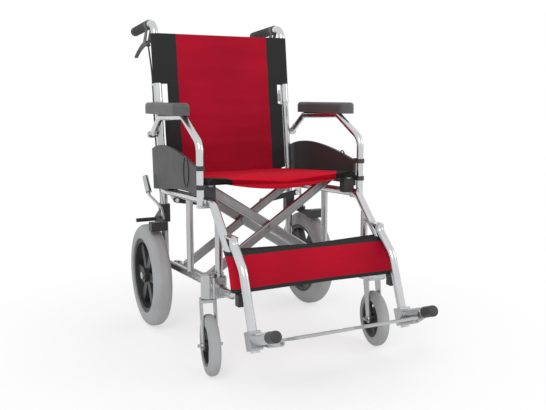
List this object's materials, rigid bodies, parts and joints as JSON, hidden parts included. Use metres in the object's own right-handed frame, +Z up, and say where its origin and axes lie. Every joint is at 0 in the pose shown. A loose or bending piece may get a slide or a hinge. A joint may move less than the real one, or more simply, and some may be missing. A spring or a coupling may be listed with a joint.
{
  "type": "transport wheelchair",
  "caption": "Folding transport wheelchair with cross brace, mag wheels, swing-away footrests, flip-up armrests and a half-folding back with attendant brakes.",
  "frame": {"origin": "on the floor, under the middle of the chair's bounding box", "axes": "+Z up, +Y to the rear, +X to the occupant's left"},
  "size_m": [0.5888, 1.0541, 0.9144],
  "materials": {
    "alu_tube": "polished",
    "bright_steel": "satin",
    "dark_steel": "satin",
    "brace_grey": "satin",
    "black_plastic": "matte",
    "grip_rubber": "matte",
    "pad_grey": "matte",
    "plate_silver": "matte",
    "tyre_grey": "matte",
    "red_fabric": "woven",
    "black_fabric": "woven"
  },
  "bodies": {
    "right_frame": {"right_rail_tube": "alu_tube", "right_rear_post": "alu_tube", "right_lower_frame": "alu_tube", "right_frame_fittings": "black_plastic", "right_caster_head": "black_plastic", "right_wheel_axle": "bright_steel", "right_parking_bracket": "dark_steel", "right_brake_cable": "black_plastic", "seat_sling": "red_fabric", "back_sling_lower": "red_fabric", "calf_strap": "black_fabric"},
    "left_frame": {"left_rail_tube": "alu_tube", "left_rear_post": "alu_tube", "left_lower_frame": "alu_tube", "left_frame_fittings": "black_plastic", "left_caster_head": "black_plastic", "left_wheel_axle": "bright_steel", "left_parking_bracket": "dark_steel", "left_brake_cable": "black_plastic"},
    "brace_a": {"brace_a": "brace_grey"},
    "brace_b": {"brace_b": "brace_grey"},
    "right_link": {"right_fold_link": "black_plastic"},
    "right_hanger": {"right_hanger": "alu_tube", "right_foot_bracket": "bright_steel"},
    "right_footplate": {"right_footplate": "plate_silver"},
    "right_arm": {"right_arm_tube": "alu_tube", "right_arm_pad": "pad_grey", "right_side_panel": "pad_grey"},
    "right_back": {"right_back_tube": "alu_tube", "right_grip": "grip_rubber", "right_brake_handle": "black_plastic", "back_sling_upper": "red_fabric"},
    "right_latch": {"right_back_latch": "bright_steel"},
    "right_trigger": {"right_brake_trigger": "black_plastic"},
    "right_parking_lever": {"right_parking_lever": "bright_steel"},
    "right_parking_shoe": {"right_parking_shoe": "black_plastic"},
    "right_fork": {"right_caster_fork": "bright_steel"},
    "right_caster_wheel": {"right_caster_rim": "black_plastic", "right_caster_tyre": "tyre_grey"},
    "right_wheel": {"right_wheel_rim": "black_plastic", "right_wheel_tyre": "tyre_grey"},
    "left_link": {"left_fold_link": "black_plastic"},
    "left_hanger": {"left_hanger": "alu_tube", "left_foot_bracket": "bright_steel"},
    "left_footplate": {"left_footplate": "plate_silver"},
    "left_arm": {"left_arm_tube": "alu_tube", "left_arm_pad": "pad_grey", "left_side_panel": "pad_grey"},
    "left_back": {"left_back_tube": "alu_tube", "left_grip": "grip_rubber", "left_brake_handle": "black_plastic"},
    "left_latch": {"left_back_latch": "bright_steel"},
    "left_trigger": {"left_brake_trigger": "black_plastic"},
    "left_parking_lever": {"left_parking_lever": "bright_steel"},
    "left_parking_shoe": {"left_parking_shoe": "black_plastic"},
    "left_fork": {"left_caster_fork": "bright_steel"},
    "left_caster_wheel": {"left_caster_rim": "black_plastic", "left_caster_tyre": "tyre_grey"},
    "left_wheel": {"left_wheel_rim": "black_plastic", "left_wheel_tyre": "tyre_grey"}
  },
  "joints": [
    {"name": "fold", "type": "hinge", "parent": "right_frame", "child": "brace_a", "pos_m": [-0.1926, -0.0595, 0.2029], "axis": [0, -0.9977, 0.0684], "range_deg": [0, 40], "deforming": ["seat_sling", "back_sling_lower", "calf_strap", "back_sling_upper"]},
    {"name": "brace_cross", "type": "hinge", "parent": "brace_a", "child": "brace_b", "pos_m": [0, -0.05096, 0.32761], "axis": [0, -0.9977, 0.0684], "range_deg": [-80, 0]},
    {"name": "left_fold", "type": "hinge", "parent": "brace_b", "child": "left_frame", "pos_m": [0.1926, -0.0595, 0.2029], "axis": [0, -0.9977, 0.0684], "range_deg": [0, 40]},
    {"name": "right_link", "type": "hinge", "parent": "right_frame", "child": "right_link", "pos_m": [-0.198, 0.16545, 0.38244], "axis": [0, -0.9977, 0.0684], "range_deg": [0, 77.1]},
    {"name": "left_link", "type": "hinge", "parent": "left_frame", "child": "left_link", "pos_m": [0.198, 0.16545, 0.38244], "axis": [0, 0.9977, -0.0684], "range_deg": [0, 77.1]},
    {"name": "right_hanger_swing", "type": "hinge", "parent": "right_frame", "child": "right_hanger", "pos_m": [-0.206, -0.2865, 0.35], "axis": [0, 0, -1], "range_deg": [0, 45]},
    {"name": "right_footplate_fold", "type": "hinge", "parent": "right_hanger", "child": "right_footplate", "pos_m": [-0.179, -0.45147, 0.14227], "axis": [0, -0.9343, 0.3564], "range_deg": [0, 90]},
    {"name": "right_arm_swing", "type": "hinge", "parent": "right_frame", "child": "right_arm", "pos_m": [-0.235, 0.2735, 0.57], "axis": [-1, 0, 0], "range_deg": [0, 90]},
    {"name": "right_back_fold", "type": "hinge", "parent": "right_frame", "child": "right_back", "pos_m": [-0.212, 0.29695, 0.66467], "axis": [-1, 0, 0], "range_deg": [0, 110], "deforming": ["right_brake_cable"]},
    {"name": "right_latch_pull", "type": "hinge", "parent": "right_back", "child": "right_latch", "pos_m": [-0.20411, 0.29788, 0.69781], "axis": [0.8988, -0.4351, 0.0534], "range_deg": [0, 18], "stiffness_Nm_per_rad": 0.15, "springref_deg": -11.46},
    {"name": "right_brake_pull", "type": "hinge", "parent": "right_back", "child": "right_trigger", "pos_m": [-0.212, 0.3955, 0.848], "axis": [1, 0, 0], "range_deg": [0, 20], "stiffness_Nm_per_rad": 0.4, "springref_deg": -11.46},
    {"name": "right_parking_brake", "type": "hinge", "parent": "right_frame", "child": "right_parking_lever", "pos_m": [-0.2334, 0.1885, 0.332], "axis": [1, 0, 0], "range_deg": [0, 45]},
    {"name": "right_shoe_press", "type": "hinge", "parent": "right_frame", "child": "right_parking_shoe", "pos_m": [-0.238, 0.2375, 0.319], "axis": [1, 0, 0], "range_deg": [0, 3]},
    {"name": "right_caster_swivel", "type": "hinge", "parent": "right_frame", "child": "right_fork", "pos_m": [-0.242, -0.2045, 0.19], "axis": [0, 0, 1], "continuous": true},
    {"name": "right_caster_roll", "type": "hinge", "parent": "right_fork", "child": "right_caster_wheel", "pos_m": [-0.24513, -0.22425, 0.076], "axis": [-0.9877, 0.1564, 0], "continuous": true},
    {"name": "right_wheel_roll", "type": "hinge", "parent": "right_frame", "child": "right_wheel", "pos_m": [-0.266, 0.2235, 0.1525], "axis": [1, 0, 0], "continuous": true},
    {"name": "left_hanger_swing", "type": "hinge", "parent": "left_frame", "child": "left_hanger", "pos_m": [0.206, -0.2865, 0.35], "axis": [0, 0, 1], "range_deg": [0, 45]},
    {"name": "left_footplate_fold", "type": "hinge", "parent": "left_hanger", "child": "left_footplate", "pos_m": [0.179, -0.45147, 0.14227], "axis": [0, 0.9343, -0.3564], "range_deg": [0, 90]},
    {"name": "left_arm_swing", "type": "hinge", "parent": "left_frame", "child": "left_arm", "pos_m": [0.235, 0.2735, 0.57], "axis": [-1, 0, 0], "range_deg": [0, 90]},
    {"name": "left_back_fold", "type": "hinge", "parent": "left_frame", "child": "left_back", "pos_m": [0.212, 0.29695, 0.66467], "axis": [-1, 0, 0], "range_deg": [0, 110], "deforming": ["left_brake_cable"]},
    {"name": "left_latch_pull", "type": "hinge", "parent": "left_back", "child": "left_latch", "pos_m": [0.20411, 0.29788, 0.69781], "axis": [0.8988, 0.4351, -0.0534], "range_deg": [0, 18], "stiffness_Nm_per_rad": 0.15, "springref_deg": -11.46},
    {"name": "left_brake_pull", "type": "hinge", "parent": "left_back", "child": "left_trigger", "pos_m": [0.212, 0.3955, 0.848], "axis": [1, 0, 0], "range_deg": [0, 20], "stiffness_Nm_per_rad": 0.4, "springref_deg": -11.46},
    {"name": "left_parking_brake", "type": "hinge", "parent": "left_frame", "child": "left_parking_lever", "pos_m": [0.2334, 0.1885, 0.332], "axis": [1, 0, 0], "range_deg": [0, 45]},
    {"name": "left_shoe_press", "type": "hinge", "parent": "left_frame", "child": "left_parking_shoe", "pos_m": [0.238, 0.2375, 0.319], "axis": [1, 0, 0], "range_deg": [0, 3]},
    {"name": "left_caster_swivel", "type": "hinge", "parent": "left_frame", "child": "left_fork", "pos_m": [0.242, -0.2045, 0.19], "axis": [0, 0, 1], "continuous": true},
    {"name": "left_caster_roll", "type": "hinge", "parent": "left_fork", "child": "left_caster_wheel", "pos_m": [0.23887, -0.22425, 0.076], "axis": [-0.9877, 0.1564, 0], "continuous": true},
    {"name": "left_wheel_roll", "type": "hinge", "parent": "left_frame", "child": "left_wheel", "pos_m": [0.266, 0.2235, 0.1525], "axis": [1, 0, 0], "continuous": true}
  ],
  "couplings": [
    {"joint": "brace_cross", "follows": "fold", "ratio": -2},
    {"joint": "left_fold", "follows": "fold", "ratio": 1},
    {"joint": "right_link", "follows": "fold", "ratio": 1.927},
    {"joint": "left_link", "follows": "fold", "ratio": 1.927},
    {"joint": "right_footplate_fold", "follows": "fold", "ratio": 2.25},
    {"joint": "right_shoe_press", "follows": "right_parking_brake", "ratio": 0.066667},
    {"joint": "left_footplate_fold", "follows": "fold", "ratio": 2.25},
    {"joint": "left_shoe_press", "follows": "left_parking_brake", "ratio": 0.066667},
    {"joint": "left_back_fold", "follows": "right_back_fold", "ratio": 1}
  ]
}
